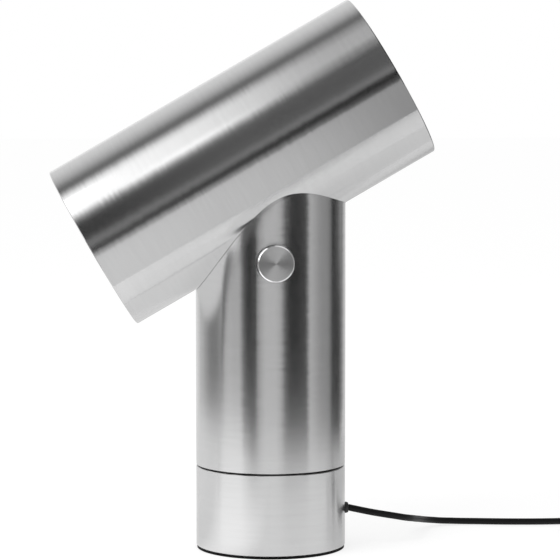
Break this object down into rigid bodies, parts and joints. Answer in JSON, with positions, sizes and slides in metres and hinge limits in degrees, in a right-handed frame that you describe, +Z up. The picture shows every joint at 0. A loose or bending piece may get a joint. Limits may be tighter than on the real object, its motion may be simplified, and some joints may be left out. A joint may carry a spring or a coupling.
{
  "type": "tabletop searchlight lamp",
  "caption": "Table lamp of brushed metal: a tilted cylindrical head coped onto a swivelling round column, with a dimmer knob, a weighted base and a mains cord with plug.",
  "frame": {"origin": "centre of the underside of the foot pad, on the swivel axis", "axes": "+Z up along the column; the mouth of the head faces -X and down; the dimmer knob faces -Y; the mains cord leaves the base along +X"},
  "size_m": [0.4943, 0.148, 0.4097],
  "materials": {
    "brushed_aluminium": "brushed round the tube, clear anodised",
    "knob_aluminium": "spun face with a bright turned chamfer",
    "cap_aluminium": "satin turned",
    "sheet_aluminium": "plain mill finish",
    "heat_sink_aluminium": "cast, plain",
    "steel": "zinc plated",
    "spring_steel": "phosphated",
    "brass": "turned",
    "cast_iron": "as cast, painted grey",
    "foot_rubber": "matt",
    "seal_rubber": "matt",
    "black_plastic": "fine matt",
    "cord_sheath": "matt black sheath",
    "lead_sheath": "white sheath",
    "bearing_plastic": "natural acetal",
    "driver_plastic": "white, fine texture",
    "dimmer_plastic": "moulded case",
    "board_white": "white solder mask",
    "phosphor": "yellow phosphor under clear resin",
    "reflector_white": "white, satin gloss",
    "opal": "opal acrylic, satin face",
    "pin_metal": "nickel plated"
  },
  "bodies": {
    "base": {"foot_pad": "foot_rubber", "bottom_plate": "steel", "base_screws": "steel", "base_weight": "cast_iron", "base_shell": "brushed_aluminium", "spindle_bush": "brass", "thrust_washer": "bearing_plastic", "cord_gland": "black_plastic", "gland_nut": "black_plastic", "cord_clamp": "black_plastic", "clamp_screws": "steel", "mains_lead_base": "cord_sheath", "power_cord": "cord_sheath", "cord_coil": "cord_sheath", "cord_tail": "cord_sheath", "plug_body": "black_plastic", "plug_pins": "pin_metal"},
    "column": {"column_tube": "brushed_aluminium", "column_foot": "cap_aluminium", "swivel_spindle": "steel", "friction_washer": "spring_steel", "swivel_nut": "steel", "stop_pin": "steel", "tie_rods": "steel", "rod_seats": "cap_aluminium", "rod_nuts": "steel", "driver_bracket": "sheet_aluminium", "driver_case": "driver_plastic", "driver_screws": "steel", "mains_lead_column": "cord_sheath", "led_lead": "lead_sheath", "dimmer_lead": "lead_sheath", "dimmer_bracket": "sheet_aluminium", "bracket_nuts": "steel", "dimmer_body": "dimmer_plastic", "dimmer_bush": "brass", "dimmer_nut": "steel", "dimmer_terminals": "brass", "head_tube": "brushed_aluminium", "wire_grommet": "black_plastic", "heat_sink": "heat_sink_aluminium", "led_board": "board_white", "led_chips": "phosphor", "board_screws": "steel", "reflector": "reflector_white", "diffuser": "opal", "front_ring": "cap_aluminium", "inner_circlip": "spring_steel", "rear_cap": "cap_aluminium", "cap_seal": "seal_rubber"},
    "dimmer": {"dimmer_knob": "knob_aluminium", "dimmer_shaft": "steel", "knob_grub_screw": "spring_steel"}
  },
  "joints": [
    {"name": "column_swivel", "type": "hinge", "parent": "base", "child": "column", "pos_m": [0, 0, 0.0625], "axis": [0, 0, 1], "range_deg": [-170, 170]},
    {"name": "dimmer_turn", "type": "hinge", "parent": "column", "child": "dimmer", "pos_m": [0, -0.056, 0.21834], "axis": [0, 1, 0], "range_deg": [0, 300]}
  ]
}
